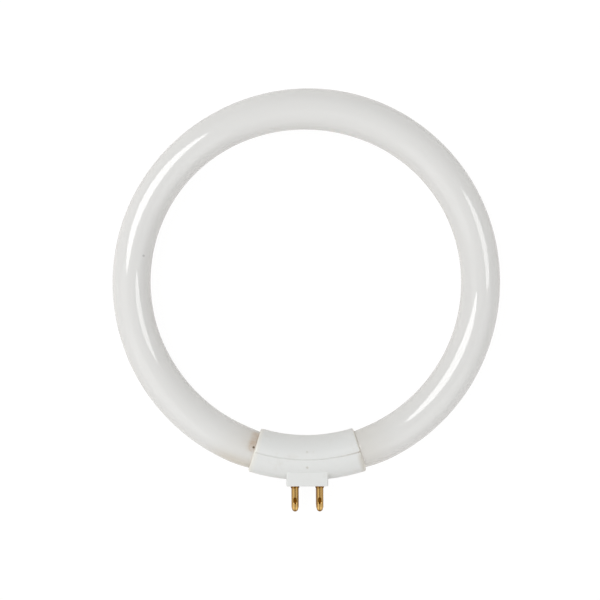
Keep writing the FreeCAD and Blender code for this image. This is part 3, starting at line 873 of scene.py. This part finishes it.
SOFTBOXES = (
    Softbox("left_softbox", turn=149.5, lean=34.5, width=0.45, height=0.73, radiance=6.5, distance=1.0),
    Softbox("right_softbox", turn=14, lean=39, width=0.42, height=0.60, radiance=4.4, distance=1.2),
    Softbox("front_fill", turn=264, lean=45, width=2.80, height=1.45, radiance=0.41, distance=1.0),
    Softbox("left_fill", turn=205, lean=50, width=0.95, height=1.00, radiance=0.62, distance=1.0),
    Softbox("right_fill", turn=329, lean=48, width=0.95, height=1.00, radiance=0.66, distance=1.0),
)

# Upward part of a direction, from where the sky is plain to where it is the horizon
HORIZON_RISE = (0.5, 0.0)
SENSOR_WIDTH = 36.0


def soft_lamp(box):
    """Hangs one softbox, which shows in reflections but not to the camera itself."""
    lamp = bpy.data.lights.new(box.name, "AREA")
    lamp.shape = "ELLIPSE"
    lamp.size = box.width
    lamp.size_y = box.height
    lamp.energy = box.radiance * math.pi * (math.pi / 4 * box.width * box.height)
    turn, lean = math.radians(box.turn), math.radians(box.lean)
    away = Vector((math.sin(lean) * math.cos(turn), math.sin(lean) * math.sin(turn), math.cos(lean)))
    lamp_object = bpy.data.objects.new(box.name, lamp)
    lamp_object.location = away * box.distance
    lamp_object.rotation_euler = (-away).to_track_quat("-Z", "Y").to_euler()
    lamp_object.visible_camera = False
    bpy.context.scene.collection.objects.link(lamp_object)


def white_paper(studio):
    """Pale paper that the picture and reflections show as white, with a faint shadow."""
    material = bpy.data.materials.new("paper_floor")
    material.use_nodes = True
    tree = material.node_tree
    tree.nodes.clear()
    paper = add(tree, "ShaderNodeBsdfDiffuse", {"Color": opaque(studio.floor_colour)})
    white = add(tree, "ShaderNodeEmission", {"Strength": studio.floor_glow})
    path = tree.nodes.new("ShaderNodeLightPath")
    seen = Field(tree, path.outputs["Is Camera Ray"]) * studio.floor_white
    for kind in ("Is Glossy Ray", "Is Transmission Ray"):
        seen = seen.most(Field(tree, path.outputs[kind]) * studio.floor_mirror)
    blend = add(tree, "ShaderNodeMixShader", {0: seen, 1: paper.outputs[0], 2: white.outputs[0]})
    target = tree.nodes.new("ShaderNodeOutputMaterial")
    tree.links.new(blend.outputs[0], target.inputs["Surface"])
    return material


def paper_floor(studio, level):
    """A wide sheet of paper at this level."""
    reach = studio.floor_reach
    corners = [(-reach, -reach, level), (reach, -reach, level), (reach, reach, level), (-reach, reach, level)]
    mesh = bpy.data.meshes.new("floor")
    mesh.from_pydata(corners, [], [(0, 1, 2, 3)])
    mesh.materials.append(white_paper(studio))
    floor = bpy.data.objects.new("floor", mesh)
    bpy.context.scene.collection.objects.link(floor)


def studio_world(studio):
    """Even light, brighter near the horizon, as in a white room."""
    world = bpy.data.worlds.new("studio")
    world.use_nodes = True
    tree = world.node_tree
    sky = tree.nodes["Background"]
    sky.inputs["Color"].default_value = (1.0, 1.0, 1.0, 1.0)
    rise = parts_of(tree, tree.nodes.new("ShaderNodeTexCoord").outputs["Generated"])[2]
    strength = rise.between(*HORIZON_RISE).from_to(studio.sky_level, studio.horizon_level)
    put(tree, sky.inputs["Strength"], strength)
    return world


def overhead_camera(studio):
    """A camera that looks straight down on the ring."""
    lens = bpy.data.cameras.new("camera")
    lens.sensor_width = SENSOR_WIDTH
    lens.lens = SENSOR_WIDTH * studio.camera_height / studio.picture_width
    camera = bpy.data.objects.new("camera", lens)
    camera.location = (studio.camera_x, studio.camera_y, studio.camera_height)
    camera.rotation_euler = (0.0, 0.0, studio.camera_turn)
    return camera


class RINGLAMP_OT_light_studio(bpy.types.Operator):
    """Lays the paper, sets the lamps and places the camera"""

    bl_idname = "ringlamp.light_studio"
    bl_label = "Light Studio"

    def execute(self, context):
        scene = context.scene
        studio = scene.ring_studio
        scene.view_settings.view_transform = "Standard"
        paper_floor(studio, cad_box[0].z)
        for box in SOFTBOXES:
            soft_lamp(box)
        scene.world = studio_world(studio)
        scene.camera = overhead_camera(studio)
        scene.collection.objects.link(scene.camera)
        return {"FINISHED"}


STEPS = (RINGLAMP_OT_bend_glass_tube, RINGLAMP_OT_mould_base, RINGLAMP_OT_set_pins, RINGLAMP_OT_finish_wires,
         RINGLAMP_OT_light_studio)
SETTINGS = {"ring_glass": GlassSettings, "ring_base": BaseSettings, "ring_pins": PinSettings,
            "ring_wires": WireSettings, "ring_studio": StudioSettings}


class RINGLAMP_PT_pieces(bpy.types.Panel):
    """Lists the pieces of the ring lamp and their settings"""

    bl_label = "Ring Lamp"
    bl_idname = "RINGLAMP_PT_pieces"
    bl_space_type = "VIEW_3D"
    bl_region_type = "UI"
    bl_category = "Ring Lamp"

    def draw(self, context):
        layout = self.layout
        for step, name in zip(STEPS, SETTINGS):
            box = layout.box()
            box.operator(step.bl_idname)
            settings = getattr(context.scene, name)
            for item in settings.__annotations__:
                box.prop(settings, item)


CLASSES = tuple(SETTINGS.values()) + STEPS + (RINGLAMP_PT_pieces,)


def register():
    for item in CLASSES:
        bpy.utils.register_class(item)
    for name, group in SETTINGS.items():
        setattr(bpy.types.Scene, name, PointerProperty(type=group))


def unregister():
    for name in SETTINGS:
        delattr(bpy.types.Scene, name)
    for item in reversed(CLASSES):
        bpy.utils.unregister_class(item)


def main():
    register()
    bpy.ops.ringlamp.bend_glass_tube()
    bpy.ops.ringlamp.mould_base()
    bpy.ops.ringlamp.set_pins()
    bpy.ops.ringlamp.finish_wires()
    bpy.ops.ringlamp.light_studio()


if __name__ == "__main__":
    main()
